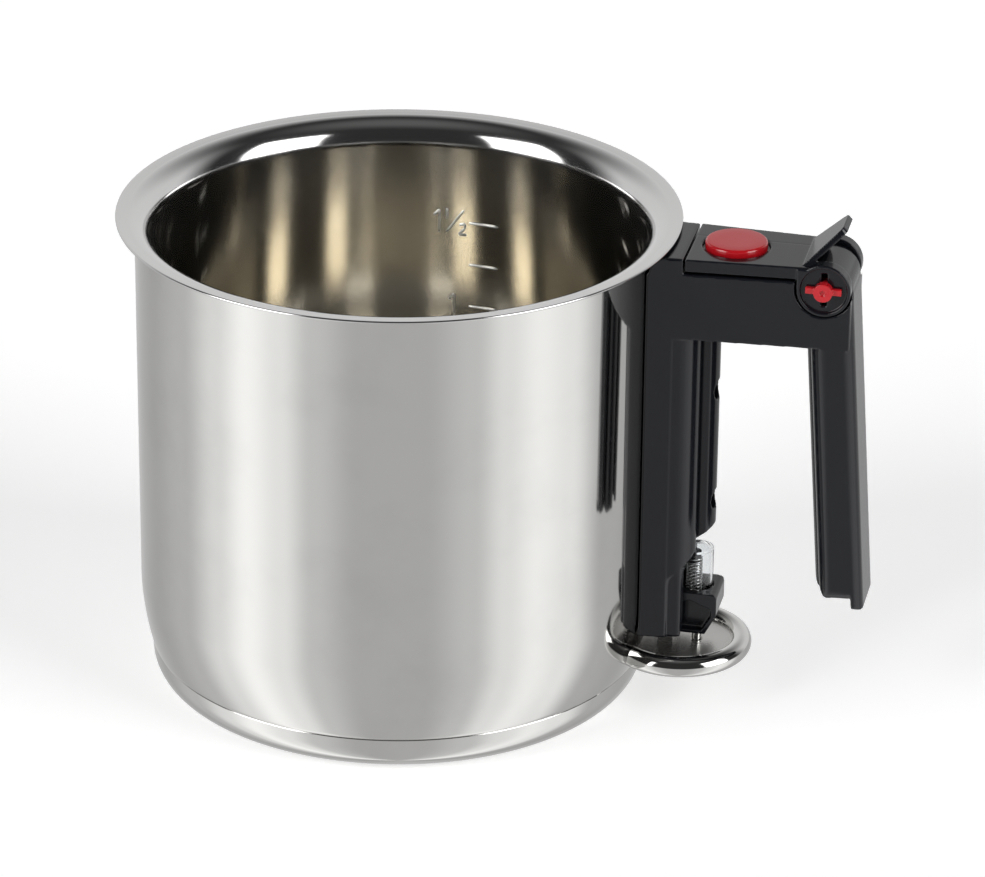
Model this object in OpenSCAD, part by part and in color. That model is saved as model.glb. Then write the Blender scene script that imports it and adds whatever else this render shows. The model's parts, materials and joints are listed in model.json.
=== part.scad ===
// Double-walled melting pot with a flared pouring rim and a bridge handle.
// Water goes into the jacket through a neck in the handle, under a hinged
// flap that carries a whistle. The handle runs along +X.

/* [Pot] */
// Outside radius of the straight jacket wall
jacket_r = 80; // [66:0.5:100]
// Sheet thickness of the jacket and of the inner vessel
sheet_t = 0.8; // [0.6:0.1:1.2]
// Width of the water space between jacket and vessel
water_gap = 4.6; // [4:0.1:6]
// Height of the rim above the table
rim_z = 151.8; // [125:0.2:190]
// How far the flared rim reaches beyond the jacket wall
rim_out = 5.7; // [4:0.1:7]
// Radius of the flare between vessel wall and rim
flare_r = 8; // [6:0.5:10]
// Height of the vessel floor above the table
floor_z = 32; // [28:0.5:36]
// Radius between vessel wall and vessel floor
floor_corner_r = 12; // [8:0.5:16]
// Height of the heat-spreading base
base_h = 11.6; // [10:0.2:14]
// Inset of the base from the jacket wall
base_inset = 3; // [2.5:0.1:4]
// Corner radius of the base cap
base_corner_r = 8.5; // [7:0.5:9.5]

/* [Volume marks] */
// Litres at the lowest mark
mark_first = 0.5; // [0.25:0.25:0.75]
// Litres from one mark to the next
mark_step = 0.25; // [0.25:0.25:0.5]
// Height left free between the highest mark and the flare
mark_margin = 20; // [10:1:30]
// Angle of the marks around the pot, from the handle
mark_angle = 82; // [60:1:120]
// Length of one mark along the wall
mark_len = 10; // [6:0.5:14]

/* [Handle] */
// Drop of the handle's top face below the rim
handle_drop = 1.6; // [1.4:0.1:4]
// Height of the foot of the handle
foot_z = 24.6; // [23.5:0.2:28]
// Width of the handle at the pot
handle_w = 31; // [28:0.5:34]
// Width of the handle at the grip
grip_w = 25; // [22:0.5:27]
// Reach of the column from the jacket wall
column_d = 14.8; // [14:0.1:17]
// Height of the bridge between column and grip
bridge_h = 25.8; // [24:0.2:28]
// Distance from the jacket wall to the hand side of the grip at its top
hand_gap = 45.4; // [40:0.5:52]
// Depth of the grip along X
grip_d = 15.6; // [14:0.2:17]
// Outward lean of the grip in degrees
grip_lean = 3.9; // [2:0.1:6]
// Height of the lower end of the grip's back wall
grip_end_z = 37; // [35:0.5:60]
// Wall of the moulded handle
shell_t = 2.4; // [2:0.1:3]
// Width of the two hand-side covers
cover_w = 10; // [8:0.5:11]

/* [Flap and whistle] */
// Thickness of the flap
flap_t = 3.8; // [3:0.1:4.4]
// Gap at the ends of the flap and around its ears
flap_gap = 0.6; // [0.35:0.05:0.8]
// Gap under the flap
ledge_gap = 1; // [0.5:0.1:1.4]
// Radius of the flap's hinge ears
ear_r = 8.1; // [7:0.1:8.6]
// Thickness of each ear
ear_t = 3.6; // [3:0.1:4.4]
// Distance from the hand side of the grip to the hinge axis
hinge_in = 6.2; // [5:0.1:7]
// Depth of the hinge axis under the handle's top
hinge_drop = 6.8; // [6:0.1:7.4]
// Length of the thumb lever
lever_len = 15.5; // [12:0.5:18]
// Half width of the thumb lever at its root
lever_w = 11.5; // [9:0.5:12]
// Half width of the thumb lever at its tip
lever_tip_w = 6.5; // [4:0.5:9]
// Radius of the whistle cap
cap_r = 9.4; // [8:0.1:10.4]
// Distance from the jacket wall to the whistle axis
whistle_out = 23.2; // [21:0.1:25]
// Radius of the whistle barrel
barrel_r = 6; // [5:0.1:6.5]
// Outside radius of the filler neck
neck_r = 4; // [3.5:0.1:4.2]

/* [Hinge pin] */
// Radius of the hinge pin
pin_r = 2.5; // [2:0.1:3]
// Radial clearance of the pin in its bores
pin_gap = 0.06; // [0.03:0.01:0.1]
// Half span of the wings on the pin's head
wing_r = 5.4; // [4.6:0.1:5.8]

/* [Latch] */
// Travel of the latch slider
latch_travel = 6; // [4:0.5:6.5]
// Distance from the jacket wall to the pot side of the slider
latch_out = 9; // [8.8:0.1:9.4]
// Outside radius of the clear spring tube
tube_r = 4.6; // [4.4:0.1:5.4]
// Radius of the latch spring, to the middle of its wire
spring_r = 2.4; // [2.1:0.1:2.8]
// Wire of the latch spring
spring_wire = 0.5; // [0.4:0.05:0.6]
// Distance of the spring from the tube's axis, towards the pot
spring_in = 1.3; // [0:0.1:1.4]
// Number of turns of the latch spring
spring_turns = 14; // [11:1:16]
// Radius of the latch bolt
bolt_r = 1.5; // [1.2:0.1:1.8]
// Width of the slider
slider_w = 15; // [14:0.5:20]

/* [Bottom bracket] */
// Radius of the ring's centre line
ring_r = 19.3; // [17:0.1:22]
// Radius of the ring's rod
rod_r = 3.25; // [2.6:0.05:3.6]
// Distance from the jacket wall to the ring's centre
ring_out = 8.9; // [7:0.1:9.5]
// Height of the ring's centre line
ring_z = 17.3; // [17:0.1:18.5]
// Thickness of the bracket plate
plate_t = 1.6; // [1.2:0.1:2.4]

/* [Hidden] */
$fn = 64;

eps = 0.01;
black = [0.07, 0.07, 0.08];
steel = [0.78, 0.78, 0.80];
red = [0.72, 0.05, 0.07];
over = 1; // reach of a cut past the face it opens

// Pot
vessel_r = jacket_r - sheet_t - water_gap;
rim_r = jacket_r + rim_out;
flare_x = vessel_r + flare_r;
rim_rise = 0.4;
flare_z = rim_z - rim_rise - flare_r;
jacket_top_z = flare_z + sqrt(pow(flare_r - sheet_t, 2) - pow(flare_x - jacket_r + sheet_t, 2)) - eps;
seam_w = 0.35;
seam_h = 0.6;
lip_r = jacket_r - base_inset;
lip_z = base_h + seam_h;
base_r = lip_r - seam_w;
belly_h = 22;
belly_r = (pow(base_inset, 2) + pow(belly_h, 2)) / (2 * base_inset);
corner_loss = (1 - PI / 4) * pow(floor_corner_r, 2) * 2 / vessel_r;
litre_h = 1e6 / (PI * pow(vessel_r, 2));
mark_first_z = floor_z + corner_loss + mark_first * litre_h;
mark_last = mark_first + floor((flare_z - mark_margin - mark_first_z) / litre_h / mark_step) * mark_step;
mark_r = 0.45;
numeral_at = [9.6, 14.6];
// Strokes of the numerals, as points along the wall and up it
one = [[-1.7, 1.9], [0, 3.8], [0, -3.8]];
small_one = [[2.5, 1], [2.5, 4.4]];
slash = [[2.4, -3.6], [8, 4.2]];
small_two = [[6.5, -1], [8.3, -0.4], [8.3, -2], [6.3, -4.2], [8.9, -4.2]];

// Handle
handle_top_z = rim_z - handle_drop;
column_x = jacket_r + column_d;
wall_gap = 0.25;
bridge_z = handle_top_z - bridge_h;
grip_x = jacket_r + hand_gap;
hinge_x = grip_x + hinge_in;
hinge_z = handle_top_z - hinge_drop;
grip_mid_x = grip_x + grip_d / 2;
corner_r = 8;
grip_corner_r = 5;
taper = (handle_w - grip_w) / 2 / (grip_mid_x - jacket_r);
grip_back_x = grip_x + grip_d - (hinge_z - bridge_z) * tan(grip_lean);
shoulder_r = grip_back_x - hinge_x;
grip_end_r = 8;
back_wall_t = 3.4;
grip_front = 2.2;
grip_in = 3.6;
back_step = 1.4;
window_z = foot_z + 23;
window_x = jacket_r + 11.4;
opening_w = cover_w + 4;
well_r = cap_r + 1.4;
foot_margin = 8;
tuck_r = 5.5;
hinge_block = 11.8;
ledge_t = 2.2;
dish_depth = 1.1;
dish_in = 7.2;
dish_r = 4;

// Flap
flap_x = jacket_r + 10.2;
ledge_z = handle_top_z - flap_t - ledge_gap;
pocket_r = ear_r + flap_gap;
whistle_x = jacket_r + whistle_out;
lever_x = hinge_x - hinge_drop;
lever_t = 1.9;
seam_y = 5;
seam_size = 0.4;
ear_out = grip_w / 2 + 0.9;
ear_in = grip_w / 2 - ear_t;
ear_dish = 1.2;
slot_w = 1.8;
cap_seat_z = handle_top_z - 1.4;
cap_top_z = handle_top_z + 1.9;
cap_gap = 0.8;
cup_top_z = handle_top_z - flap_t - 1.5;
cup_r = barrel_r + 2.8;
cup_h = 5;
cup_wall = 1;
cup_floor = 1.6;
barrel_z = cup_top_z - 2;
flange_r = barrel_r + 1;
seal_t = 0.8;

// Filler neck
neck_t = 0.8;
neck_bend = 6;
neck_z = cup_top_z - cup_h - neck_bend - 0.5;

// Screws and rail
screw_r = 1.9;
screw_z = [foot_z + 41.9, bridge_z - 21.4];
head_r = 3;
head_h = 2.4;
boss_r = 3.6;
rail_t = 1.6;
rail_w = 12;
rail_x = jacket_r + eps;
rail_end = 11;
boss_len = 7;
web_x = rail_x + rail_t + boss_len + 0.1;
web_t = 2.6;
washer_t = 0.6;
cover_crest = 4.6;
cover_end = 5;
cover_rise = 2.4;
end_gap = 0.4;

// Latch
slider_x = jacket_r + latch_out;
slider_wall = 0.9;
latch_x = slider_x + slider_wall + tube_r;
slider_reach = 7;
slider_gap = 0.35;
spring_x = latch_x - spring_in;
tube_t = 0.7;
dome_h = 2.4;
slider_bottom_z = foot_z - 1.2;
slider_top_z = slider_bottom_z + 13.6;
tube_overlap = 1;
tube_bottom_z = slider_top_z - tube_overlap;
tube_top_z = tube_bottom_z + 13.2;
slider_bore = latch_travel + tube_overlap + 0.4;
spring_bottom_z = slider_top_z - slider_bore;
spring_top_z = tube_top_z - 2.8;
plunger_tail = 2.4;
spring_len = spring_top_z - spring_bottom_z;
plunger_head = 1.2;
scoop_y = tube_r + 0.9;
plate_z = ring_z - plate_t / 2;
ring_x = jacket_r + ring_out;
weld_gap = 0.02;
ring_end = 5; // depth behind the wall at which the ring's bar is cut
ring_half = acos((pow(jacket_r - ring_end, 2) - pow(ring_x, 2) - pow(ring_r, 2)) / (2 * ring_x * ring_r));
bolt_bottom_z = plate_z - 1;
bolt_seat = 2.2;
post_in = 3.2;
post_size = [4.6, 10];
post_top_z = foot_z + 4;
post_gap = 0.6;

function wide(x) = handle_w / 2 - taper * (x - jacket_r);

// A flat outline in X and Z, swept along Y from -w to +w
module side_slab(w) {
  rotate([90, 0, 0]) translate([0, 0, -w]) linear_extrude(2 * w) children();
}

// A round bar along Y
module y_bar(r, y0, y1) {
  translate([0, y1, 0]) rotate([90, 0, 0]) cylinder(r = r, h = y1 - y0);
}

// A round bar along X
module x_bar(r, x0, x1) {
  translate([x0, 0, 0]) rotate([0, 90, 0]) cylinder(r = r, h = x1 - x0);
}

// A rectangle with four round corners, exact arcs
module soft_rect(x0, y0, x1, y1, r) {
  union() {
    translate([x0 + r, y0]) square([x1 - x0 - 2 * r, y1 - y0]);
    translate([x0, y0 + r]) square([x1 - x0, y1 - y0 - 2 * r]);
    for (x = [x0 + r, x1 - r], y = [y0 + r, y1 - r]) translate([x, y]) circle(r);
  }
}

module outer_jacket() {
  color(steel) difference() {
    rotate_extrude($fn = 180) difference() {
      jacket_outline(0);
      jacket_outline(sheet_t);
    }
    translate([0, 0, neck_z]) x_bar(neck_r + pin_gap, vessel_r + 2, jacket_r + 3);
  }
}

// Half section of the jacket, drawn in by t
module jacket_outline(t) {
  top = jacket_top_z + (t > 0 ? 1 : 0);
  difference() {
    union() {
      translate([0, lip_z + belly_h]) square([jacket_r - t, top - lip_z - belly_h]);
      intersection() {
        translate([0, base_h + t]) square([jacket_r - t, belly_h + lip_z - base_h + eps - t]);
        translate([jacket_r - belly_r, lip_z + belly_h])
          circle(belly_r - t, $fn = 360);
      }
    }
    if (t == 0) translate([lip_r - 0.05, 0]) square([jacket_r, lip_z]);
  }
}

// The jacket filled in and grown by g, to cut what stands against it
module jacket_solid(g) {
  rotate_extrude($fn = 180) jacket_outline(-g);
}

module inner_vessel() {
  color(steel) union() {
    rotate_extrude($fn = 180) vessel_section();
    for (v = [mark_first : mark_step : mark_last]) volume_mark(v);
    if (mark_last >= 1) wall_path(one, numeral_at[0], mark_z(1));
    if (mark_last >= 1.5) for (p = [one, small_one, slash, small_two]) wall_path(p, numeral_at[1], mark_z(1.5));
  }
}

function mark_z(v) = mark_first_z + (v - mark_first) * litre_h;

module vessel_section() {
  c = floor_corner_r;
  union() {
    // floor
    translate([0, floor_z - sheet_t]) square([vessel_r - c, sheet_t]);
    // corner
    translate([vessel_r - c, floor_z + c]) intersection() {
      difference() { circle(c + sheet_t); circle(c); }
      translate([0, -c - 2]) square([c + 2, c + 2]);
    }
    // wall
    translate([vessel_r, floor_z + c]) square([sheet_t, flare_z - floor_z - c]);
    // flare
    translate([flare_x, flare_z]) intersection() {
      difference() { circle(flare_r); circle(flare_r - sheet_t); }
      translate([-flare_r - 1, 0]) square([flare_r + 1, flare_r + 1]);
    }
    // rim, rising slightly to its rounded edge
    polygon([
      [flare_x - eps, flare_z + flare_r - sheet_t], [rim_r - 0.4, rim_z - 0.8],
      [rim_r - 0.4, rim_z], [flare_x - eps, flare_z + flare_r]
    ]);
    translate([rim_r - 0.4, rim_z - 0.4]) circle(0.4, $fn = 24);
  }
}

// One raised measuring mark, pressed into the vessel wall
module volume_mark(v) {
  rotate([0, 0, mark_angle - mark_len / vessel_r * 90 / PI]) translate([0, 0, mark_z(v)])
    rotate_extrude(angle = mark_len / vessel_r * 180 / PI, $fn = 180)
      translate([vessel_r, 0]) circle(mark_r, $fn = 24);
}

// Raised strokes through a list of points, u along the wall and z the height of their middle
module wall_path(points, u, z) {
  for (i = [0 : len(points) - 2]) {
    a = points[i];
    b = points[i + 1];
    mid = (a + b) / 2;
    step = b - a;
    rotate([0, 0, mark_angle + (u - mid[0]) / vessel_r * 180 / PI]) translate([vessel_r, 0, z + mid[1]])
      rotate([atan2(step[0], step[1]), 0, 0])
        cylinder(r = mark_r, h = norm(step), center = true, $fn = 24);
  }
}

module base_core() {
  c = base_corner_r;
  r = base_r - sheet_t - eps;
  color([0.75, 0.76, 0.78]) rotate_extrude($fn = 180) intersection() {
    translate([0, sheet_t]) square([r, base_h - sheet_t]);
    union() {
      translate([0, -1]) square([base_r - c, base_h + 2]);
      translate([0, c]) square([r, base_h]);
      translate([base_r - c, c]) circle(c - sheet_t - eps);
    }
  }
}

module base_cap() {
  c = base_corner_r;
  r = base_r;
  color(steel) rotate_extrude($fn = 180) union() {
    square([r - c, sheet_t]);
    translate([r - c, c]) intersection() {
      difference() { circle(c); circle(c - sheet_t); }
      translate([0, -c - 1]) square([c + 1, c + 1]);
    }
    translate([r - sheet_t, c]) square([sheet_t, base_h - c]);
  }
}

module filler_neck() {
  color(steel) difference() {
    neck_solid(neck_r, 0);
    neck_solid(neck_r - neck_t, 1);
  }
}

// The neck as a solid bar of radius r, longer by e at both ends
module neck_solid(r, e) {
  union() {
    translate([0, 0, neck_z]) x_bar(r, vessel_r + 2.4 - e, whistle_x - neck_bend);
    translate([whistle_x - neck_bend, 0, neck_z + neck_bend]) rotate([90, 0, 0])
      rotate([0, 0, -90]) rotate_extrude(angle = 90) translate([neck_bend, 0]) circle(r);
    translate([whistle_x, 0, neck_z + neck_bend])
      cylinder(r = r, h = cup_top_z - cup_h + cup_floor - neck_z - neck_bend + e);
  }
}

module neck_collar() {
  color(steel) translate([0, 0, neck_z]) difference() {
    x_bar(neck_r + 2, rail_x + 0.2, rail_x + 2);
    x_bar(neck_r, rail_x - 1, rail_x + 3);
  }
}

// Funnel that the whistle barrel closes
module filler_cup() {
  z0 = cup_top_z - cup_h;
  color(black) translate([whistle_x, 0, z0]) difference() {
    cylinder(r = cup_r, h = cup_h);
    translate([0, 0, -1]) cylinder(r = neck_r, h = 3);
    translate([0, 0, cup_floor]) cylinder(r = cup_r - cup_wall, h = cup_h);
  }
}

// Steel strip welded to the jacket, which the handle is bolted to
module mounting_rail() {
  z0 = screw_z[0] - rail_end;
  z1 = screw_z[1] + rail_end;
  color(steel) difference() {
    translate([rail_x, -rail_w / 2, z0]) cube([rail_t, rail_w, z1 - z0]);
    for (z = screw_z) translate([0, 0, z]) x_bar(screw_r, rail_x - 1, rail_x + rail_t + 1);
  }
}

module rail_bosses() {
  color(steel) for (z = screw_z) translate([0, 0, z]) difference() {
    x_bar(boss_r, rail_x + rail_t, rail_x + rail_t + boss_len);
    x_bar(screw_r, rail_x + rail_t - 1, rail_x + rail_t + boss_len + 1);
  }
}

// Open ring of round bar, its two ends welded to the jacket
module guard_ring() {
  color(steel) difference() {
    ring_bar();
    jacket_solid(weld_gap);
  }
}

module ring_bar() {
  translate([ring_x, 0, ring_z]) rotate([0, 0, -ring_half])
    rotate_extrude(angle = 2 * ring_half, $fn = 120) translate([ring_r, 0]) circle(rod_r);
}

module guard_plate() {
  color(steel) difference() {
    translate([ring_x, 0, plate_z]) cylinder(r = ring_r, h = plate_t, $fn = 120);
    ring_bar();
    jacket_solid(weld_gap);
    translate([latch_x, 0, 0]) cylinder(r = bolt_r + 0.4, h = rim_z);
  }
}

// Peg on the plate that keeps the foot of the handle in place
module foot_post() {
  color(steel) translate([jacket_r + post_in, -post_size[1] / 2, plate_z + plate_t])
    cube([post_size[0], post_size[1], post_top_z - plate_z - plate_t]);
}

module handle_body() {
  color(black) difference() {
    intersection() {
      union() {
        column_block();
        bridge_block();
        grip_block();
      }
      plan_taper();
    }
    jacket_solid(wall_gap);
    column_hollow();
    bridge_hollow();
    grip_hollow();
    flap_pocket();
    translate([hinge_x, 0, hinge_z]) y_bar(pin_r + pin_gap, -handle_w, handle_w);
    for (z = screw_z) translate([0, 0, z]) x_bar(screw_r + 0.2, web_x - 1, web_x + web_t + 1);
    thumb_dish();
  }
}

// Plan outline that narrows from the pot to the grip
module plan_taper() {
  x0 = jacket_r - 2 * foot_margin;
  x1 = grip_x + 4 * grip_d;
  linear_extrude(rim_z + 10) polygon([[x0, -wide(x0)], [x1, -wide(x1)], [x1, wide(x1)], [x0, wide(x0)]]);
}

module column_block() {
  w = wide(column_x);
  x0 = jacket_r - foot_margin;
  intersection() {
    translate([0, 0, foot_z]) linear_extrude(bridge_z - foot_z + 4) union() {
      translate([x0, -handle_w]) square([column_x - corner_r - x0, 2 * handle_w]);
      translate([x0, -w + corner_r]) square([column_x - x0, 2 * (w - corner_r)]);
      for (s = [-1, 1]) intersection() {
        translate([column_x - corner_r, s * (w - corner_r)]) circle(corner_r);
        translate([column_x - corner_r, -handle_w]) square([corner_r, 2 * handle_w]);
      }
    }
    // The rear edge steps back above the latch
    side_slab(handle_w) polygon([
      [x0, foot_z - 1], [window_x, foot_z - 1], [window_x, window_z],
      [column_x + 1, window_z + 5.5], [column_x + 1, rim_z], [x0, rim_z]
    ]);
  }
}

module bridge_block() {
  r = tuck_r;
  x0 = jacket_r - foot_margin;
  side_slab(handle_w) union() {
    difference() {
      translate([x0, bridge_z]) square([hinge_x - x0, bridge_h]);
      // the corner that tucks under the flared rim
      translate([x0 - over, handle_top_z - r]) square([jacket_r - x0 + r + 0.4 + over, r + over]);
    }
    translate([jacket_r + r - 0.6, handle_top_z - r]) circle(r);
    translate([hinge_x, handle_top_z - shoulder_r]) circle(shoulder_r);
    translate([hinge_x, bridge_z]) square([shoulder_r, bridge_h - shoulder_r]);
  }
}

module grip_frame() {
  translate([grip_x, 0, bridge_z]) rotate([0, -grip_lean, 0]) children();
}

module grip_block() {
  w = grip_w / 2;
  len = bridge_z - grip_end_z;
  c = grip_corner_r;
  top = len + hinge_z - bridge_z - 3;
  grip_frame() translate([0, 0, -len]) union() {
    intersection() {
      linear_extrude(top) soft_rect(grip_front, -w, grip_d, w, c);
      tongue(back_step, grip_end_r);
      rotate([90, 0, 0]) translate([0, 0, -w]) linear_extrude(2 * w) grip_side();
    }
    intersection() {
      linear_extrude(top) soft_rect(grip_front, -w, grip_d, w, c);
      translate([grip_d - back_wall_t, -w, 0]) cube([back_wall_t, 2 * w, top]);
      tongue(0, grip_end_r / 2);
    }
  }
}

// Lower end of the grip as seen from the pot, with two corners of radius r
module tongue(z, r) {
  w = grip_w / 2;
  rotate([90, 0, 90]) linear_extrude(3 * grip_d, center = true) union() {
    translate([-w, z + r]) square([2 * w, bridge_z]);
    translate([r - w, z]) square([2 * (w - r), r + over]);
    for (s = [-1, 1]) translate([s * (w - r), z + r]) circle(r);
  }
}

// Side view of the grip, with its lower end rounded towards the hand
module grip_side() {
  r = grip_end_r;
  union() {
    translate([-grip_d, back_step + r]) square([3 * grip_d, bridge_z]);
    translate([grip_front + r, back_step]) square([2 * grip_d, r + over]);
    translate([grip_front + r, back_step + r]) circle(r);
  }
}

module column_hollow() {
  w = wide(column_x) - shell_t;
  // channel on the hand side, from the foot up to the bridge
  translate([web_x + web_t, -opening_w / 2, foot_z - 1])
    cube([30, opening_w, bridge_z - foot_z + 0.4]);
  translate([web_x + web_t, -w + 1, foot_z - 1])
    cube([column_x - web_x - web_t - 2.6, 2 * w - 2, bridge_z - foot_z + 0.4]);
  // pot side, around the rail and its bosses
  translate([jacket_r - foot_margin, -w, foot_z + foot_margin])
    cube([web_x - jacket_r + foot_margin, 2 * w, bridge_z - foot_z - 4]);
  // foot socket for the peg
  translate([jacket_r + post_in - post_gap, -post_size[1] / 2 - post_gap, foot_z - over])
    cube([post_size[0] + 2 * post_gap, post_size[1] + 2 * post_gap, post_top_z - foot_z + 3]);
  // shaft in which the slider runs
  translate([slider_x - slider_gap, -slider_w / 2 - slider_gap, foot_z - over])
    cube([30, slider_w + 2 * slider_gap, slider_top_z - foot_z + latch_travel + 2]);
  // snug round seat that holds the spring tube
  translate([latch_x, 0, foot_z]) cylinder(r = tube_r + 0.05, h = tube_top_z + dome_h + 0.4 - foot_z);
}

module bridge_hollow() {
  w = grip_w / 2 - shell_t;
  // inside of the bridge
  translate([jacket_r - foot_margin, -w, bridge_z + shell_t])
    cube([hinge_x - jacket_r + foot_margin - hinge_block, 2 * w, ledge_z - ledge_t - shell_t - bridge_z]);
  // well for the cup and the whistle
  translate([whistle_x, 0, bridge_z + shell_t + 1]) cylinder(r = well_r, h = bridge_h);
}

module grip_hollow() {
  w = grip_w / 2 - shell_t;
  len = bridge_z - grip_end_z;
  grip_frame() {
    translate([grip_in, -w, -len - over]) cube([grip_d - grip_in - shell_t, 2 * w, len]);
    translate([-over, -opening_w / 2, cover_end - end_gap - len])
      cube([grip_in + 2 * over, opening_w, len - cover_end + end_gap - over]);
  }
}

// Space for the flap and its ears, up to the round shoulder behind the hinge
module flap_pocket() {
  w = handle_w;
  difference() {
    translate([flap_x - flap_gap, -w, ledge_z]) cube([hinge_x - flap_x + flap_gap, 2 * w, 20]);
    translate([hinge_x, 0, handle_top_z - shoulder_r]) y_bar(shoulder_r, -w - over, w + over);
  }
  for (s = [-1, 1]) translate([hinge_x, 0, hinge_z])
    y_bar(pocket_r, s > 0 ? ear_in - flap_gap : -w, s > 0 ? w : flap_gap - ear_in);
}

// Shallow dish on both sides of the foot, where fingers reach the slider
module thumb_dish() {
  r = dish_r;
  x = jacket_r + dish_in;
  for (s = [-1, 1]) intersection() {
    side_slab(handle_w) union() {
      translate([x + r, 0]) square([20, window_z - 1]);
      translate([x, 0]) square([20, window_z - 1 - r]);
      translate([x + r, window_z - 1 - r]) circle(r);
    }
    translate([x - dish_r, s > 0 ? wide(x) - dish_depth : dish_depth - wide(x) - handle_w, 0])
      cube([handle_w, handle_w, window_z]);
  }
}

// Convex strip that closes the hand side of the column
module column_cover() {
  z0 = window_z + 5;
  z1 = bridge_z - 1;
  color(black) difference() {
    intersection() {
      translate([0, 0, z0]) linear_extrude(z1 - z0) cover_plan(web_x + web_t + 0.05, column_x + cover_crest);
      side_slab(handle_w) polygon([
        [0, z0 + 6.6], [column_x - 3, z0], [column_x + cover_crest + 1, z0 + 6.6],
        [column_x + cover_crest + 1, z1 + 1], [0, z1 + 1]
      ]);
    }
    for (z = screw_z) translate([0, 0, z]) {
      x_bar(head_r + 0.3, web_x + web_t - 1, column_x + cover_crest + 2);
    }
  }
}

// Plan of a hand-side cover: a strip with a round crest at x1
module cover_plan(x0, x1) {
  w = cover_w / 2;
  rise = cover_rise;
  r = (w * w + rise * rise) / (2 * rise);
  intersection() {
    translate([x0, -w]) square([x1 - x0 + 1, 2 * w]);
    union() {
      translate([x1 - r, 0]) circle(r, $fn = 96);
      translate([x0 - 1, -w]) square([x1 - rise - x0 + 1, 2 * w]);
    }
  }
}

// The same strip on the grip, its crest facing the column
module grip_cover() {
  len = bridge_z - grip_end_z;
  color(black) intersection() {
    grip_frame() translate([0, 0, cover_end - len]) linear_extrude(len - cover_end - over)
      mirror([1, 0, 0]) cover_plan(-grip_d + shell_t + 0.05, 0);
    grip_frame() translate([-cover_rise, 0, -len])
      rotate([90, 0, 0]) translate([0, 0, -cover_w]) linear_extrude(2 * cover_w) grip_side();
  }
}

module handle_screws() {
  x0 = web_x + web_t + washer_t;
  color(steel) for (z = screw_z) translate([0, 0, z]) difference() {
    union() {
      x_bar(screw_r - 0.02, rail_x + rail_t + 1, x0);
      x_bar(head_r, x0, x0 + head_h);
    }
    x_bar(1.3, x0 + head_h - 1.4, x0 + head_h + 1, $fn = 24);
  }
}

module screw_washers() {
  x0 = web_x + web_t;
  color(steel) for (z = screw_z) translate([0, 0, z]) difference() {
    x_bar(head_r + 0.2, x0, x0 + washer_t);
    x_bar(screw_r, x0 - 1, x0 + washer_t + 1);
  }
}

// Clear dome that houses the latch spring
module spring_tube() {
  color([0.9, 0.93, 0.95, 0.4]) translate([latch_x, 0, 0]) rotate_extrude() difference() {
    polygon([
      [0, tube_bottom_z], [tube_r, tube_bottom_z], [tube_r, tube_top_z],
      [tube_r - 0.5, tube_top_z + 0.6], [0.8, tube_top_z + dome_h], [0, tube_top_z + dome_h]
    ]);
    polygon([
      [-1, tube_bottom_z - 1], [tube_r - tube_t, tube_bottom_z - 1],
      [tube_r - tube_t, tube_top_z - 0.4], [0.8, tube_top_z + dome_h - tube_t],
      [-1, tube_top_z + dome_h - tube_t]
    ]);
  }
}

// Coil of round wire, as rings of points swept along a helix
module latch_spring() {
  sides = 8;
  steps = spring_turns * 14;
  h = spring_len - spring_wire;
  pts = [for (i = [0 : steps], k = [0 : sides - 1]) let (
      a = 360 * spring_turns * i / steps,
      b = 360 * k / sides,
      r = spring_r + spring_wire / 2 * cos(b)
    ) [r * cos(a), r * sin(a), h * i / steps + spring_wire / 2 * sin(b)]];
  side_faces = [for (i = [0 : steps - 1], k = [0 : sides - 1]) let (
      k2 = (k + 1) % sides, a = i * sides, b = (i + 1) * sides
    ) [a + k, a + k2, b + k2, b + k]];
  first = [for (k = [sides - 1 : -1 : 0]) k];
  last = [for (k = [0 : sides - 1]) steps * sides + k];
  color(steel) translate([spring_x, 0, spring_bottom_z + spring_wire / 2])
    polyhedron(pts, concat([first, last], side_faces));
}

// Pointed guide that sits in the top of the spring
module latch_plunger() {
  color(black) translate([spring_x, 0, 0]) union() {
    translate([0, 0, spring_top_z]) cylinder(r = spring_r - 0.2, h = plunger_head);
    translate([0, 0, spring_top_z + plunger_head])
      cylinder(r1 = 1.3, r2 = 0.4, h = tube_top_z - spring_top_z - plunger_head);
    translate([0, 0, spring_top_z - plunger_tail])
      cylinder(r = spring_r - spring_wire / 2 - 0.35, h = plunger_tail);
  }
}

// Finger slider with a scoop on each side
module latch_slider() {
  x0 = slider_x;
  x1 = latch_x + slider_reach;
  z0 = slider_bottom_z;
  z1 = slider_top_z;
  color(black) difference() {
    side_slab(slider_w / 2) union() {
      polygon([
        [x0, z0], [x1 - 3.4, z0], [x1, z0 + 6.4], [x1, z1 - 1.6], [x1 - 1.6, z1], [x0, z1]
      ]);
      translate([x1 - 1.6, z1 - 1.6]) circle(1.6);
    }
    for (s = [-1, 1]) intersection() {
      side_slab(slider_w) polygon([
        [x0 + 1, z0 + 1.2], [x1 - 4.4, z0 + 1.2], [x1 - 1.6, z0 + 6],
        [x1 - 1.8, z1 - 5], [x0 + 4, z1 - 2.4], [x0 + 1, z1 - 3.4]
      ]);
      translate([x0, s > 0 ? scoop_y : -slider_w, z0]) cube([20, slider_w - scoop_y, 20]);
    }
    translate([latch_x, 0, z0 - over]) cylinder(r = bolt_r, h = bolt_seat + over);
    translate([latch_x, 0, z1 - slider_bore]) cylinder(r = tube_r + 0.25, h = slider_bore + over);
  }
}

module latch_bolt() {
  color(steel) translate([latch_x, 0, bolt_bottom_z]) union() {
    cylinder(r1 = bolt_r - 0.4, r2 = bolt_r, h = 0.6);
    translate([0, 0, 0.6]) cylinder(r = bolt_r, h = slider_bottom_z + bolt_seat - bolt_bottom_z - 0.6);
  }
}

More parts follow.
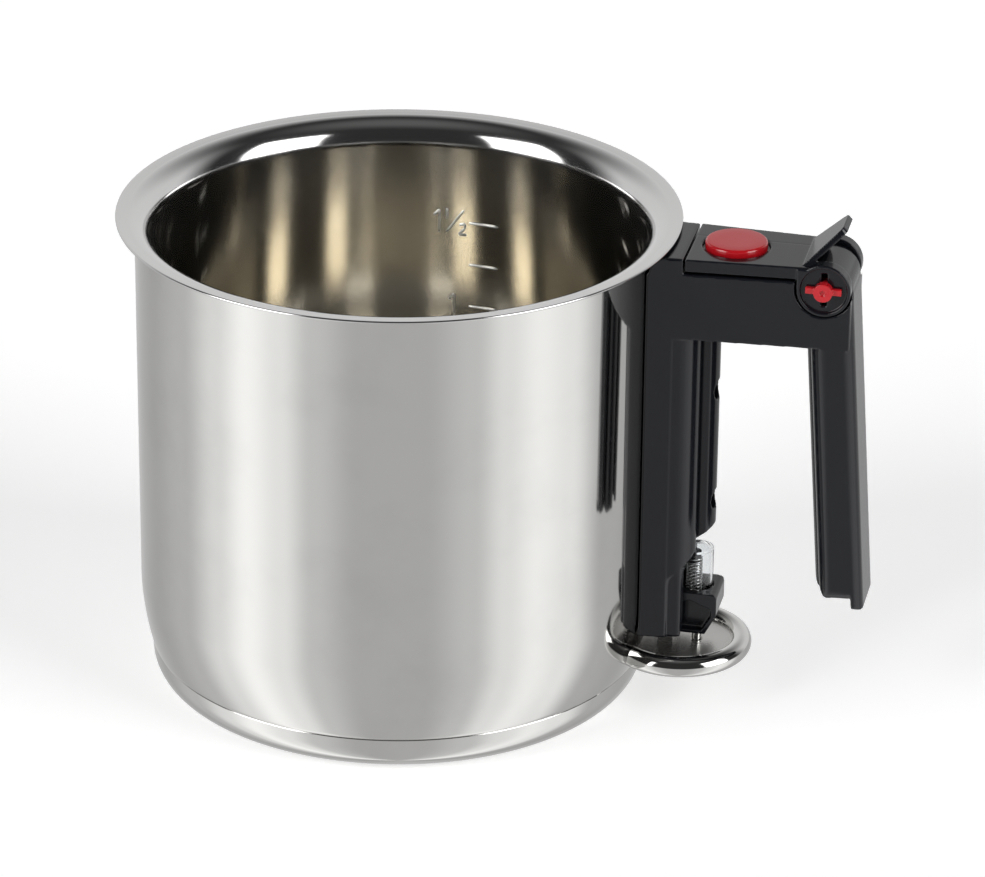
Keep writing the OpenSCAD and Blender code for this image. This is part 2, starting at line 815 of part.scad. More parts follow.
// Hinged flap with its two ears and the thumb lever
module flap() {
  color(black) difference() {
    union() {
      intersection() {
        translate([flap_x, -handle_w, handle_top_z - flap_t])
          cube([hinge_x - flap_x - 2, 2 * handle_w, flap_t]);
        plan_taper();
      }
      flap_ears();
      thumb_lever();
    }
    // seat of the whistle cap
    translate([whistle_x, 0, cap_seat_z]) cylinder(r = cap_r + cap_gap, h = 10);
    translate([whistle_x, 0, cap_seat_z - 10]) cylinder(r = barrel_r, h = 20);
    // fine groove along the top
    translate([flap_x - over, seam_y, handle_top_z - seam_size])
      cube([hinge_x - flap_x, seam_size, seam_size + over]);
    translate([hinge_x, 0, hinge_z]) y_bar(pin_r + pin_gap, -handle_w, handle_w);
    // recessed floors of the ears, with the slots that let the pin's wings through
    for (s = [-1, 1]) translate([hinge_x, 0, hinge_z]) {
      y_bar(ear_r - 1, s > 0 ? ear_out - ear_dish : -ear_out - over, s > 0 ? ear_out + over : -ear_out + ear_dish);
    }
    translate([hinge_x - slot_w / 2, -handle_w, hinge_z - wing_r + 0.2])
      cube([slot_w, handle_w, 2 * wing_r - 0.4]);
    // room for the shoulder under the lever
    translate([hinge_x, 0, hinge_z]) y_bar(shoulder_r + 0.3, -ear_in, ear_in);
  }
}

module flap_ears() {
  for (s = [-1, 1]) {
    translate([hinge_x, 0, hinge_z])
      y_bar(ear_r, s > 0 ? ear_in : -ear_out, s > 0 ? ear_out : -ear_in);
    // gusset between the ear and the plate
    translate([hinge_x - ear_r, s > 0 ? ear_in : -ear_out, hinge_z])
      cube([ear_r, ear_out - ear_in, hinge_drop - 0.6]);
  }
}

// Tapered tongue that the thumb pushes down, leaning back at 45 degrees
module thumb_lever() {
  r = 2;
  root = -1.2;
  translate([lever_x, 0, handle_top_z]) rotate([0, -45, 0]) translate([0, 0, -lever_t])
    linear_extrude(lever_t) union() {
      polygon([
        [root, -lever_w], [lever_len - r, -lever_tip_w - 0.3], [lever_len, r - lever_tip_w],
        [lever_len, lever_tip_w - r], [lever_len - r, lever_tip_w + 0.3], [root, lever_w]
      ]);
      for (s = [-1, 1]) translate([lever_len - r, s * (lever_tip_w - r)]) circle(r);
    }
}

module whistle_cap() {
  h = cap_top_z - cap_seat_z;
  e = h / 3;
  color(red) translate([whistle_x, 0, cap_seat_z]) rotate_extrude() union() {
    square([cap_r, h - e]);
    square([cap_r - e, h]);
    translate([cap_r - e, h - e]) circle(e);
  }
}

module whistle_barrel() {
  z0 = barrel_z;
  color([0.78, 0.66, 0.35]) translate([whistle_x, 0, z0]) difference() {
    union() {
      cylinder(r = barrel_r, h = cap_seat_z - z0);
      cylinder(r = flange_r, h = handle_top_z - flap_t - z0);
    }
    translate([0, 0, 2]) cylinder(r = barrel_r - 1, h = 20);
    translate([0, 0, -1]) cylinder(r = 2.6, h = 5);
  }
}

module whistle_upper_disc() {
  color(steel) translate([whistle_x, 0, cap_seat_z - 1]) difference() {
    cylinder(r = barrel_r - 1, h = 0.6);
    translate([0, 0, -1]) cylinder(r = 0.7, h = 3);
  }
}

module whistle_lower_disc() {
  color(steel) translate([whistle_x, 0, barrel_z + 2]) difference() {
    cylinder(r = barrel_r - 1, h = 0.6);
    translate([0, 0, -1]) cylinder(r = 0.7, h = 3);
  }
}

// Soft ring that seals the barrel in the cup
module whistle_seal() {
  color([0.8, 0.8, 0.78]) translate([whistle_x, 0, barrel_z - seal_t]) difference() {
    cylinder(r = flange_r + 0.3, h = seal_t);
    translate([0, 0, -1]) cylinder(r = 2.6, h = 3);
  }
}

// Removable hinge pin. A quarter turn lays its wings across the slot of the ear
module hinge_pin() {
  y0 = -ear_out + ear_dish;
  color(red) translate([hinge_x, 0, hinge_z]) difference() {
    union() {
      y_bar(pin_r, -ear_out - 1.6, ear_in + 1.6);
      y_bar(pin_r + 0.35, -ear_out - 1.6, y0 - 0.05);
      translate([-wing_r, y0 - 1.5, -1]) cube([2 * wing_r, 1.4, 2]);
    }
    y_bar(0.9, -ear_out - 2, -ear_out - 1, $fn = 24);
  }
}

outer_jacket();
inner_vessel();
base_core();
base_cap();
filler_neck();
neck_collar();
filler_cup();
mounting_rail();
rail_bosses();
guard_ring();
guard_plate();
foot_post();
handle_body();
column_cover();
grip_cover();
handle_screws();
screw_washers();
spring_tube();
latch_spring();
latch_plunger();
latch_slider();
latch_bolt();
flap();
whistle_cap();
whistle_barrel();
whistle_upper_disc();
whistle_lower_disc();
whistle_seal();
hinge_pin();
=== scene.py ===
import json
import math
import bmesh
import bpy
from mathutils import Matrix, Vector


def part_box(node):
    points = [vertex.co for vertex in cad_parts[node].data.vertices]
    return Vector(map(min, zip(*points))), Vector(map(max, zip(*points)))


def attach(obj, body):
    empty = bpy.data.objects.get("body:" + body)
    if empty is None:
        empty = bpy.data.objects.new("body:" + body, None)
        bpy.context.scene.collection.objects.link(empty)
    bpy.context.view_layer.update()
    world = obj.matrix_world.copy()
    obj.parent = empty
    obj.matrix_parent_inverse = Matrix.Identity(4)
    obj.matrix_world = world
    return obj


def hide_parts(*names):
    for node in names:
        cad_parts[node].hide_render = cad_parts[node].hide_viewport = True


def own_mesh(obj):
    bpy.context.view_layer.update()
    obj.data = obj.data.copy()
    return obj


# A double-walled steel melting pot with a black bridge handle, a whistle under a red cap,
# and a sprung latch over a bent ring at the handle's foot. Lengths are in metres.
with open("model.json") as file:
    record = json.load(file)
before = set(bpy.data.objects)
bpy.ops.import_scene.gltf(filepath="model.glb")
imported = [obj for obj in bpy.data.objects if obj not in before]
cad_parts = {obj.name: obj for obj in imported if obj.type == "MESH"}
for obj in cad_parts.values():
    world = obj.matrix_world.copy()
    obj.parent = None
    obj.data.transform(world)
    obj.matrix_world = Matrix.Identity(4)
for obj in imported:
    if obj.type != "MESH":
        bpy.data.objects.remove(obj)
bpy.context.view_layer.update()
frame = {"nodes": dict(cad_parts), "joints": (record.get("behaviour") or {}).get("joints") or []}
nodes = frame["nodes"]
mm = 0.001

# ---------------------------------------------------------------------------
# Camera. A long lens well back from the pot, a little to the left of the
# handle's side, looking down past the rim into the vessel.
camera_at = Vector((0.3223, -1.3959, 0.7306))
camera_yaw = math.radians(11.85)
camera_drop = math.radians(24.55)
camera_roll = math.radians(0.59)
lens = bpy.data.cameras.new("lens")
lens.sensor_width = 36
lens.lens = 186.87
camera = bpy.data.objects.new("camera", lens)
bpy.context.scene.collection.objects.link(camera)
camera.matrix_world = (
    Matrix.Translation(camera_at)
    @ Matrix.Rotation(camera_yaw, 4, "Z")
    @ Matrix.Rotation(math.radians(90) - camera_drop, 4, "X")
    @ Matrix.Rotation(camera_roll, 4, "Z")
)
bpy.context.scene.camera = camera
bpy.context.scene.view_settings.view_transform = "Standard"


# ---------------------------------------------------------------------------
# Studio. Two tall soft boxes stand left and right of the camera, the space
# behind it is dark, and a pale backdrop closes the far side. Polished steel
# shows all of this, so the light is painted by direction.
class Wire:
    """A socket of a shader tree, with maths written as Python sums."""

    def __init__(self, tree, socket=None):
        self.tree = tree
        self.socket = socket

    def node(self, kind, settings=None, sockets=None, out=0):
        made = self.tree.nodes.new("ShaderNode" + kind)
        for name, value in (settings or {}).items():
            if name == "stops":
                self._stops(made.color_ramp, value)
            else:
                setattr(made, name, value)
        for name, value in (sockets or {}).items():
            if isinstance(value, Wire):
                self.tree.links.new(value.socket, made.inputs[name])
            else:
                made.inputs[name].default_value = value
        return Wire(self.tree, made.outputs[out] if made.outputs else None)

    @staticmethod
    def _stops(ramp, stops):
        ramp.interpolation = "EASE"
        while len(ramp.elements) < len(stops):
            ramp.elements.new(0.5)
        for element, (place, colour) in zip(ramp.elements, stops):
            element.position = place
            element.color = (*colour, 1) if isinstance(colour, tuple) else (colour, colour, colour, 1)

    def output(self, index):
        return Wire(self.tree, self.socket.node.outputs[index])

    def maths(self, operation, *values):
        return self.node("Math", {"operation": operation}, dict(enumerate((self, *values))))

    def __add__(self, other):
        return self.maths("ADD", other)

    def __radd__(self, other):
        return self.maths("ADD", other)

    def __sub__(self, other):
        return self.maths("SUBTRACT", other)

    def __rsub__(self, other):
        return self.node("Math", {"operation": "SUBTRACT"}, {0: other, 1: self})

    def __mul__(self, other):
        return self.maths("MULTIPLY", other)

    def __rmul__(self, other):
        return self.maths("MULTIPLY", other)

    def step(self, low, high):
        """0 below low, 1 above high, and a smooth rise between."""
        settings = {"interpolation_type": "SMOOTHSTEP"}
        return self.node("MapRange", settings, {"Value": self, "From Min": low, "From Max": high})

    def band(self, low, high, soft):
        return self.step(low - soft, low + soft) * (1 - self.step(high - soft, high + soft))


def mix_colour(factor, first, second):
    """A colour between two, by a mask."""
    settings = {"data_type": "RGBA"}
    return factor.node("Mix", settings, {0: factor, 6: first, 7: second}, out=2)


world = bpy.data.worlds.new("studio")
world.use_nodes = True
world.node_tree.nodes.clear()
bpy.context.scene.world = world
sky = Wire(world.node_tree)
way = sky.node("TexCoord")
split = sky.node("SeparateXYZ", {}, {0: way})
east, north, rise = split, split.output(1), split.output(2)
rightward = east * math.cos(camera_yaw) + north * math.sin(camera_yaw)
frontward = east * math.sin(camera_yaw) - north * math.cos(camera_yaw)
degrees = 180 / math.pi
bearing = rightward.maths("ARCTAN2", frontward) * degrees
height = rise.maths("ARCSINE") * degrees


def by_bearing(stops):
    """Grey levels at bearings from the camera's side, -180 to 180."""
    places = [(a / 360 + 0.5, level) for a, level in stops]
    return sky.node("ValToRGB", {"stops": places}, {0: bearing * (1 / 360) + 0.5})


table_light = by_bearing([
    (-180, 0.62), (-137, 0.50), (-108, 0.65), (-86, 1.02), (-69, 1.36), (-52, 1.12), (-37, 0.76),
    (-16, 0.57), (12, 0.57), (34, 0.74), (49, 1.06), (65, 1.27), (82, 1.13), (103, 0.58), (130, 0.50),
    (180, 0.62),
])
dark, backdrop_level, box_level, ceiling_level = 0.035, 0.74, 5.0, 0.1
backdrop = bearing.maths("ABSOLUTE").step(95, 125) * (1 - height.step(18, 58))
boxes = (bearing.band(40, 78, 3) + bearing.band(-78, -43, 3)) * height.band(2, 44, 3)
room = dark + backdrop * backdrop_level + boxes * box_level + height.step(55, 85) * ceiling_level
below = 1 - height.step(-4, 2)
light = mix_colour(below, room, table_light)
shine = sky.node("Background", {}, {"Color": light, "Strength": 1.0})
sky.node("OutputWorld", {}, {"Surface": shine})


def new_tree(name):
    """A material with an empty tree."""
    made = bpy.data.materials.new(name)
    made.use_nodes = True
    made.node_tree.nodes.clear()
    return made, Wire(made.node_tree)


def mesh_object(name, points, faces):
    mesh = bpy.data.meshes.new(name)
    mesh.from_pydata(points, [], faces)
    made = bpy.data.objects.new(name, mesh)
    bpy.context.scene.collection.objects.link(made)
    return made


floor_reach = 20.0
floor_paint, tree = new_tree("floor_paint")
grain = tree.node("TexNoise", {}, {"Scale": 6.0, "Detail": 3.0})
floor_shader = tree.node("BsdfPrincipled", {}, {
    "Base Color": mix_colour(grain, (0.86, 0.86, 0.86, 1), (0.88, 0.88, 0.88, 1)),
    "Roughness": 0.9,
    "Emission Color": (1, 1, 1, 1),
    "Emission Strength": 0.46,
})
tree.node("OutputMaterial", {}, {"Surface": floor_shader})
corners = [(x * floor_reach, y * floor_reach, 0) for x, y in ((-1, -1), (1, -1), (1, 1), (-1, 1))]
floor = mesh_object("floor", corners, [(0, 1, 2, 3)])
floor.data.materials.append(floor_paint)
floor.visible_glossy = False

# ---------------------------------------------------------------------------
# Outer jacket. Deep-drawn stainless steel, polished to a mirror: a straight
# wall that draws in at the foot, where it is brazed to the base.
spin_steps = 320


def arc(centre, radius, start, end, count):
    """Points of an arc, angles in degrees."""
    angles = [math.radians(start + (end - start) * i / count) for i in range(count + 1)]
    return [(centre[0] + radius * math.cos(a), centre[1] + radius * math.sin(a)) for a in angles]


def lathe(name, outline, steps=spin_steps, at=(0, 0)):
    """A closed outline of (radius, height), anticlockwise, turned about a vertical axis."""
    points, rings = [], []
    for radius, z in outline:
        if radius < 1e-7:
            rings.append([len(points)] * steps)
            points.append((at[0], at[1], z))
            continue
        rings.append(range(len(points), len(points) + steps))
        for i in range(steps):
            a = 2 * math.pi * i / steps
            points.append((at[0] + radius * math.cos(a), at[1] + radius * math.sin(a), z))
    faces = []
    for low, high in zip(rings, rings[1:] + rings[:1]):
        for i in range(steps):
            j = (i + 1) % steps
            face = list(dict.fromkeys((low[i], low[j], high[j], high[i])))
            if len(face) > 2:
                faces.append(face)
    return mesh_object(name, points, faces)


def show(piece, paint, body, slot, *replaced, crease=35):
    """Smooth shading, a material, and the body that the piece rides on."""
    piece.data.materials.clear()
    piece.data.materials.append(paint)
    piece.data.shade_smooth()
    piece.data.set_sharp_from_angle(angle=math.radians(crease))
    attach(piece, body)
    if replaced:
        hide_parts(*replaced)
    return piece


def steel(name, colour, rough, lines, streak=0.0, spread=0.0, inside=None):
    """Stainless steel with lines that run around the pot.

    What stands in from the radius inside is paler. With inside given, the colour stays warm low in the pot,
    a painted golden reflection, and turns grey towards the rim.
    """
    made, tree = new_tree(name)
    place = tree.node("TexCoord", out=3)
    along = tree.node("VectorMath", {"operation": "MULTIPLY"}, {0: place, 1: (40, 40, 5200)})
    fine = tree.node("TexNoise", {}, {"Vector": along, "Scale": 1.0, "Detail": 2.0})
    smear = tree.node("TexNoise", {}, {"Vector": place, "Scale": 26.0, "Detail": 5.0, "Roughness": 0.6})
    haze = smear.step(0.42, 0.75)
    bump = tree.node("Bump", {}, {"Strength": lines, "Distance": 0.00001, "Height": fine})
    tone = mix_colour(haze, (*colour, 1), tuple(0.94 * c for c in colour) + (1,))
    matt = rough + fine * streak + haze * 0.02
    if inside:
        flat = tree.node("VectorMath", {"operation": "MULTIPLY"}, {0: place, 1: (1, 1, 0)})
        radius = tree.node("VectorMath", {"operation": "LENGTH"}, {0: flat}, out=1)
        above = tree.node("SeparateXYZ", {}, {0: place}, out=2).step(0.050, 0.052)
        raised = (1 - radius.step(inside - 0.0002, inside - 0.00005)) * above
        # Painted golden reflection: low in the pot the warm colour stays, towards the rim it turns grey.
        golden_reflection_low = 1 - tree.node("SeparateXYZ", {}, {0: place}, out=2).step(0.100, 0.145)
        tone = mix_colour(golden_reflection_low, (0.68, 0.675, 0.67, 1), tone)
        tone = mix_colour(raised, tone, (0.95, 0.94, 0.91, 1))
        matt = matt + raised * 0.25
    shader = tree.node("BsdfPrincipled", {}, {
        "Base Color": tone,
        "Metallic": 1.0,
        "Roughness": matt,
        "Anisotropic": spread,
        "Anisotropic Rotation": 0.25,
        "Normal": bump,
    })
    tree.node("OutputMaterial", {}, {"Surface": shader})
    return made


sheet = 0.8 * mm
jacket_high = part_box("outer_jacket")[1]
cap_low, cap_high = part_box("base_cap")
wall_r = jacket_high.x
foot_inset = 3 * mm
foot_step = 4 * mm
foot_edge = 0.7 * mm
seam_h = 0.6 * mm
foot_z = cap_high.z + seam_h
belly_h = 22 * mm
belly_r = (foot_inset**2 + belly_h**2) / (2 * foot_inset)
belly_centre = (wall_r - belly_r, foot_z + belly_h)
belly_turn = math.degrees(math.asin(belly_h / belly_r))
foot_r = wall_r - foot_inset
outline = [(wall_r - sheet, jacket_high.z), (wall_r - sheet, belly_centre[1])]
outline += arc(belly_centre, belly_r - sheet, 0, -belly_turn, 24)[1:]
outline += [(foot_r - foot_step, cap_high.z + sheet), (foot_r - foot_step, cap_high.z)]
outline += arc((foot_r - foot_edge, foot_z + 0.1 * mm), foot_edge, -90, -10, 8)
outline += arc(belly_centre, belly_r, -belly_turn, 0, 32)
outline += [(wall_r, jacket_high.z)]
mirror_steel = steel("mirror_steel", (0.66, 0.655, 0.64), 0.045, 0.02, streak=0.03)
jacket_wall = lathe("jacket_wall", outline)
show(jacket_wall, mirror_steel, "pot", "polished_steel", "outer_jacket")

# ---------------------------------------------------------------------------
# Inner vessel. One drawing of stainless steel, brushed around on the inside,
# its wall flared into a wide pouring rim. Volume marks are pressed into it.
vessel_low, vessel_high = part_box("inner_vessel")
water_gap = 4.6 * mm
vessel_r = wall_r - sheet - water_gap
rim_r = vessel_high.x - 0.03 * mm
rim_z = vessel_high.z
floor_z = vessel_low.z + sheet
corner_r = 12 * mm
flare_r = 8 * mm
lip = sheet / 2
flare = (vessel_r + flare_r, rim_z - lip - flare_r)
outline = [(0, vessel_low.z)]
outline += arc((vessel_r - corner_r, floor_z + corner_r), corner_r + sheet, -90, 0, 20)
outline += arc(flare, flare_r - sheet, 180, 92, 24)
outline += arc((rim_r - lip, rim_z - lip), lip, -87, 93, 14)
outline += arc(flare, flare_r, 90, 180, 36)
outline += arc((vessel_r - corner_r, floor_z + corner_r), corner_r, 0, -90, 28)
outline += [(0, floor_z)]
vessel_shell = lathe("vessel_shell", outline)

mark_turn = math.radians(82)
mark_r = 0.45 * mm
mark_w = 10 * mm
litre_h = 1e-3 / (math.pi * vessel_r**2)
corner_loss = (1 - math.pi / 4) * corner_r**2 * 2 / vessel_r
litre_at = 9.6 * mm
litre_half_at = 14.6 * mm
numeral_one = [(-1.7, 1.9), (0, 3.8), (0, -3.8)]
numeral_half = [
    [(2.5, 1), (2.5, 4.4)],
    [(2.4, -3.6), (8, 4.2)],
    [(6.5, -1), (8.3, -0.4), (8.3, -2), (6.3, -4.2), (8.9, -4.2)],
]


def sweep(path, ups, radii, sides=12, squeeze=1.0):
    """Points and faces of a round bar along a path, closed at both ends."""
    points, faces = [], []
    last = len(path) - 1
    for i, (place, up, radius) in enumerate(zip(path, ups, radii)):
        ahead = (path[min(i + 1, last)] - path[max(i - 1, 0)]).normalized()
        side = ahead.cross(up).normalized()
        lift = side.cross(ahead)
        for k in range(sides):
            a = 2 * math.pi * k / sides
            points.append(place + side * radius * math.cos(a) + lift * radius * squeeze * math.sin(a))
    for i in range(last):
        for k in range(sides):
            a, b = i * sides + k, i * sides + (k + 1) % sides
            faces.append((a, a + sides, b + sides, b))
    faces.append(tuple(range(sides)))
    faces.append(tuple(last * sides + k for k in reversed(range(sides))))
    return points, faces


def on_wall(u, z):
    """A place on the vessel wall, u read from the marks' middle."""
    turn = mark_turn - u / vessel_r
    return Vector((vessel_r * math.cos(turn), vessel_r * math.sin(turn), z))


def ridge(start, end, count=14):
    """One raised stroke with round ends, from (u, z) to (u, z)."""
    path, radii = [], []
    for i in range(count + 1):
        t = (1 - math.cos(math.pi * i / count)) / 2
        path.append(on_wall(start[0] + (end[0] - start[0]) * t, start[1] + (end[1] - start[1]) * t))
        radii.append(mark_r * math.sqrt(max(0.02, 1 - abs(2 * t - 1) ** 8)))
    ups = [Vector((p.x, p.y, 0)).normalized() for p in path]
    return sweep(path, ups, radii)


def numeral(paths, u, z):
    for path in paths:
        for a, b in zip(path, path[1:]):
            yield (u + a[0] * mm, z + a[1] * mm), (u + b[0] * mm, z + b[1] * mm)


def mark_height(litres):
    return floor_z + corner_loss + litres * litre_h


strokes = [((-mark_w / 2, mark_height(v / 4)), (mark_w / 2, mark_height(v / 4))) for v in range(2, 7)]
strokes += numeral([numeral_one], -litre_at, mark_height(1))
strokes += numeral([numeral_one, *numeral_half], -litre_half_at, mark_height(1.5))
build = bmesh.new()
build.from_mesh(vessel_shell.data)
for start, end in strokes:
    points, faces = ridge(start, end)
    corners = [build.verts.new(p) for p in points]
    for face in faces:
        build.faces.new([corners[i] for i in face])
build.to_mesh(vessel_shell.data)
build.free()
# The warm colour low in the vessel is a painted golden reflection.
brushed_steel = steel(
    "brushed_steel", (0.80, 0.77, 0.70), 0.08, 0.06, streak=0.05, spread=0.7, inside=vessel_r)
show(vessel_shell, brushed_steel, "pot", "satin_steel", "inner_vessel")

# ---------------------------------------------------------------------------
# Base cap. Polished steel drawn over the heat-spreading disc, with a wide
# soft corner. A dark seam parts it from the jacket.
cap_r = cap_high.x
cap_corner = 8.5 * mm
cap_edge = 0.4 * mm
cap_lap = sheet + 1 * mm
outline = [(0, cap_low.z)]
outline += arc((cap_r - cap_corner, cap_low.z + cap_corner), cap_corner, -90, 0, 28)
outline += arc((cap_r - cap_edge, cap_high.z - cap_edge), cap_edge, 0, 90, 6)
outline += [(cap_r - cap_lap, cap_high.z), (cap_r - cap_lap, cap_corner)]
outline += arc((cap_r - cap_corner, cap_low.z + cap_corner), cap_corner - sheet, -20, -90, 16)
outline += [(0, cap_low.z + sheet)]
base_shell = lathe("base_shell", outline)
show(base_shell, mirror_steel, "pot", "polished_steel", "base_cap")


# ---------------------------------------------------------------------------
# Handle. Column, bridge and grip are one thick-walled moulding in black
# phenolic plastic, glossy, with soft edges. Screws hold it to the jacket.
def moulding(name, node, cell, rounds):
    """A copy of a moulded piece with its edges made soft, as a mould leaves them."""
    source = nodes[node].data
    build = bmesh.new()
    build.from_mesh(source)
    bmesh.ops.remove_doubles(build, verts=build.verts, dist=1e-6)
    mesh = bpy.data.meshes.new(name)
    build.to_mesh(mesh)
    build.free()
    made = bpy.data.objects.new(name, mesh)
    bpy.context.scene.collection.objects.link(made)
    remesh = made.modifiers.new("remesh", "REMESH")
    remesh.mode = "VOXEL"
    remesh.voxel_size = cell
    soften = made.modifiers.new("soften", "SMOOTH")
    soften.factor = 0.5
    soften.iterations = rounds
    made.data = bpy.data.meshes.new_from_object(made.evaluated_get(bpy.context.evaluated_depsgraph_get()))
    made.modifiers.clear()
    bpy.data.meshes.remove(mesh)
    return made


def plastic(name, colour, rough, grain_depth, coat=0.0, top_light_and_dulling=0.0):
    """Moulded plastic with a faint grain, hazy patches and edges painted paler, a painted highlight.

    Faces turned up can be made rougher and painted paler, a painted light from above.
    """
    made, tree = new_tree(name)
    place = tree.node("TexCoord", out=3)
    grain = tree.node("TexNoise", {}, {"Vector": place, "Scale": 1400.0, "Detail": 2.0})
    haze = tree.node("TexNoise", {}, {"Vector": place, "Scale": 60.0, "Detail": 6.0, "Roughness": 0.65})
    # Painted highlight: sharp edges are painted towards the pale colour, which the random haze also mixes
    # in.
    edge_highlight = tree.node("NewGeometry", out=7).step(0.52, 0.62)
    haze_and_painted_light = tuple(min(1, c * 1.6 + 0.01) for c in colour) + (1,)
    # Painted light from above: faces turned up are painted paler, and are also made rougher.
    upward = tree.node("SeparateXYZ", {}, {0: tree.node("NewGeometry", out=1)}, out=2)
    top_light_and_dull = upward.step(0.90, 0.99) * top_light_and_dulling
    bump = tree.node("Bump", {}, {"Strength": grain_depth, "Distance": 0.00002, "Height": grain})
    shader = tree.node("BsdfPrincipled", {}, {
        "Base Color": mix_colour(edge_highlight * 0.5 + haze * 0.25 + top_light_and_dull * 0.35, (*colour, 1), haze_and_painted_light),
        "Roughness": rough + haze * 0.12 - 0.06 + top_light_and_dull * 0.3,
        "Specular IOR Level": 0.42,
        "Coat Weight": coat,
        "Coat Roughness": 0.08,
        "Normal": bump,
    })
    tree.node("OutputMaterial", {}, {"Surface": shader})
    return made


black_plastic = plastic("black_plastic", (0.0055, 0.006, 0.0085), 0.14, 0.2)
handle_moulding = moulding("handle_moulding", "handle_body", 0.4 * mm, 5)
show(handle_moulding, black_plastic, "pot", "black_plastic", "handle_body", crease=180)

# ---------------------------------------------------------------------------
# Covers. Two convex strips of the same black plastic snap into the hand side
# of the column and of the grip. The column's strip has the screw holes.
for node in ("column_cover", "grip_cover"):
    strip = moulding(node + "_strip", node, 0.3 * mm, 4)
    show(strip, black_plastic, "pot", "black_plastic", node, crease=180)

# ---------------------------------------------------------------------------
# Flap. A black moulded lid over the filler, with two ears around the hinge and
# a tongue for the thumb. The red pin holds it.
flap_moulding = moulding("flap_moulding", "flap", 0.25 * mm, 4)
show(flap_moulding, black_plastic, "flap", "black_plastic", "flap", crease=180)

# ---------------------------------------------------------------------------
# Whistle cap and hinge pin. Both are moulded in glossy red plastic. The cap is
# pressed into the flap, and the pin goes through the flap's ears.
# Its faces turned up are painted paler as light from above, and made rougher.
red_plastic = plastic("red_plastic", (0.46, 0.006, 0.012), 0.20, 0.12, coat=0.4, top_light_and_dulling=0.8)
cap_box_low, cap_box_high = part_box("whistle_cap")
whistle_x = (cap_box_low.x + cap_box_high.x) / 2
button_r = cap_box_high.x - whistle_x
button_edge = 0.9 * mm
button_foot = 0.4 * mm
button_fall = 0.03 * mm
button_low, button_top = cap_box_low.z, cap_box_high.z
outline = [(0, button_low), (button_r - button_foot, button_low)]
outline += arc((button_r - button_foot, button_low + button_foot), button_foot, -90, 0, 6)
outline += arc((button_r - button_edge, button_top - button_edge), button_edge, 0, 84, 14)
outline += [(button_r - 4 * mm, button_top - button_fall), (0, button_top)]
whistle_button = lathe("whistle_button", outline, steps=160, at=(whistle_x, 0))
show(whistle_button, red_plastic, "flap", "red_plastic", "whistle_cap", crease=60)
pin_moulding = moulding("pin_moulding", "hinge_pin", 0.14 * mm, 3)
show(pin_moulding, red_plastic, "pin", "red_plastic", "hinge_pin", crease=180)

# ---------------------------------------------------------------------------
# Latch. A black slider with a scoop on each side slides up the handle's foot
# against a steel spring, which sits under a clear dome.
slider_moulding = moulding("slider_moulding", "latch_slider", 0.25 * mm, 4)
show(slider_moulding, black_plastic, "latch", "black_plastic", "latch_slider", crease=180)
plunger_moulding = moulding("plunger_moulding", "latch_plunger", 0.15 * mm, 2)
show(plunger_moulding, black_plastic, "pot", "black_plastic", "latch_plunger", crease=180)

bright_steel = steel("bright_steel", (0.60, 0.60, 0.59), 0.16, 0.05, streak=0.06)
spring_low, spring_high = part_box("latch_spring")
spring_x = (spring_low.x + spring_high.x) / 2
wire_r = 0.25 * mm
coil_r = spring_high.x - spring_x - wire_r
coil_h = spring_high.z - spring_low.z - 2 * wire_r
turns = 14
per_turn = 28
path = []
for i in range(turns * per_turn + 1):
    a = 2 * math.pi * i / per_turn
    rise = coil_h * i / (turns * per_turn)
    height_now = spring_low.z + wire_r + rise
    path.append(Vector((spring_x + coil_r * math.cos(a), coil_r * math.sin(a), height_now)))
points, faces = sweep(path, [Vector((0, 0, 1))] * len(path), [wire_r] * len(path))
spring_coil = mesh_object("spring_coil", points, faces)
show(spring_coil, bright_steel, "pot", "screw_steel", "latch_spring", crease=60)
slide = next(j for j in frame["joints"] if j["name"] == "latch_slide")
travel = slide["range_m"][1]
pressed = 1 - travel / (spring_high.z - spring_low.z)
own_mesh(spring_coil)

clear_plastic, tree = new_tree("clear_plastic")
place = tree.node("TexCoord", out=3)
ripple = tree.node("TexNoise", {}, {"Vector": place, "Scale": 220.0, "Detail": 2.0})
glaze = tree.node("Bump", {}, {"Strength": 0.12, "Distance": 0.00005, "Height": ripple})
shader = tree.node("BsdfPrincipled", {}, {
    "Base Color": mix_colour(ripple, (0.90, 0.92, 0.93, 1), (0.95, 0.96, 0.97, 1)),
    "Roughness": 0.04,
    "IOR": 1.46,
    "Transmission Weight": 1.0,
    "Normal": glaze,
})
tree.node("OutputMaterial", {}, {"Surface": shader})
tube_low, tube_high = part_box("spring_tube")
latch_x = (tube_low.x + tube_high.x) / 2
tube_r = tube_high.x - latch_x
tube_wall = 0.7 * mm
dome_h = 2.4 * mm
shoulder_z = tube_high.z - dome_h
outline = [(0, tube_high.z - tube_wall)]
outline += [(0.8 * mm, tube_high.z - tube_wall), (tube_r - tube_wall - 0.4 * mm, shoulder_z - 0.1 * mm)]
outline += [(tube_r - tube_wall, shoulder_z - 0.5 * mm), (tube_r - tube_wall, tube_low.z)]
outline += [(tube_r, tube_low.z), (tube_r, shoulder_z)]
outline += arc((tube_r - 0.8 * mm, shoulder_z), 0.8 * mm, 10, 60, 6)
outline += [(1.0 * mm, tube_high.z - 0.1 * mm), (0.5 * mm, tube_high.z), (0, tube_high.z)]
spring_dome = lathe("spring_dome", outline, steps=96, at=(latch_x, 0))
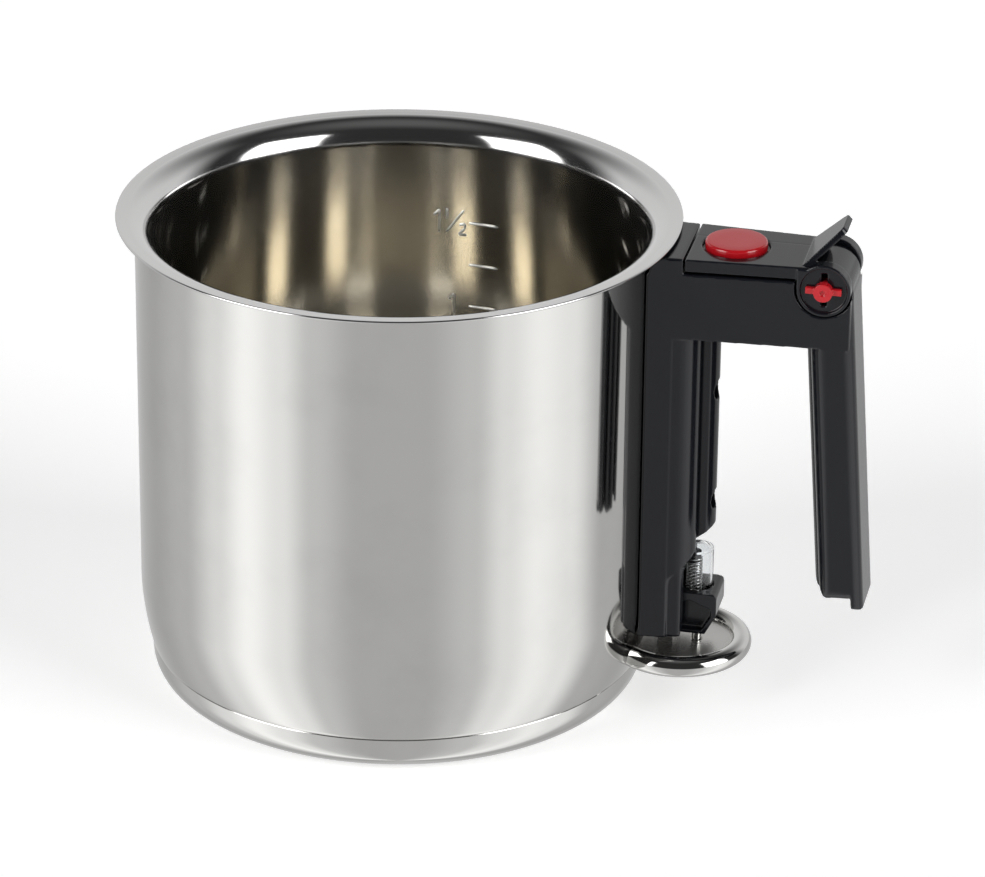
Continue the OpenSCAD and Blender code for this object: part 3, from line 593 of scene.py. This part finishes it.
show(spring_dome, clear_plastic, "pot", "clear_plastic", "spring_tube")

# ---------------------------------------------------------------------------
# Guard ring. Round stainless bar bent to an open ring, polished, with both
# ends welded to the jacket.
ring_low, ring_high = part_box("guard_ring")
rod_r = (ring_high.z - ring_low.z) / 2
ring_z = (ring_high.z + ring_low.z) / 2
ring_r = ring_high.y - rod_r
ring_x = ring_high.x - rod_r - ring_r
ring_cut = wall_r - 2 * mm
ring_turn = math.acos((ring_cut**2 - ring_x**2 - ring_r**2) / (2 * ring_x * ring_r))
ring_steps = 160
path = []
for i in range(ring_steps + 1):
    a = ring_turn * (2 * i / ring_steps - 1)
    path.append(Vector((ring_x + ring_r * math.cos(a), ring_r * math.sin(a), ring_z)))
points, faces = sweep(path, [Vector((0, 0, 1))] * len(path), [rod_r] * len(path), sides=48)
ring_bar = mesh_object("ring_bar", points, faces)
show(ring_bar, mirror_steel, "pot", "polished_steel", "guard_ring", crease=60)

# ---------------------------------------------------------------------------
# Small steel pieces and what the handle and the base hide keep their own
# shapes. Plate and peg are satin steel, and screws and bolt bright steel.
# The whistle is brass, its seal rubber and the core aluminium.
satin_steel = steel("satin_steel", (0.62, 0.61, 0.59), 0.22, 0.08, streak=0.08)
cast_aluminium = steel("cast_aluminium", (0.75, 0.76, 0.78), 0.42, 0.3, streak=0.1)
whistle_brass = steel("whistle_brass", (0.80, 0.62, 0.28), 0.22, 0.05, streak=0.08)
seal_rubber = plastic("seal_rubber", (0.42, 0.42, 0.40), 0.6, 0.3)
finishes = {
    satin_steel: ["guard_plate", "foot_post", "mounting_rail", "rail_bosses", "filler_neck", "neck_collar"],
    bright_steel: ["handle_screws", "screw_washers", "latch_bolt"],
    cast_aluminium: ["base_core"],
    whistle_brass: ["whistle_barrel", "whistle_upper_disc", "whistle_lower_disc"],
    seal_rubber: ["whistle_seal"],
    black_plastic: ["filler_cup"],
}
for paint, names in finishes.items():
    for name in names:
        nodes[name].data.materials.clear()
        nodes[name].data.materials.append(paint)
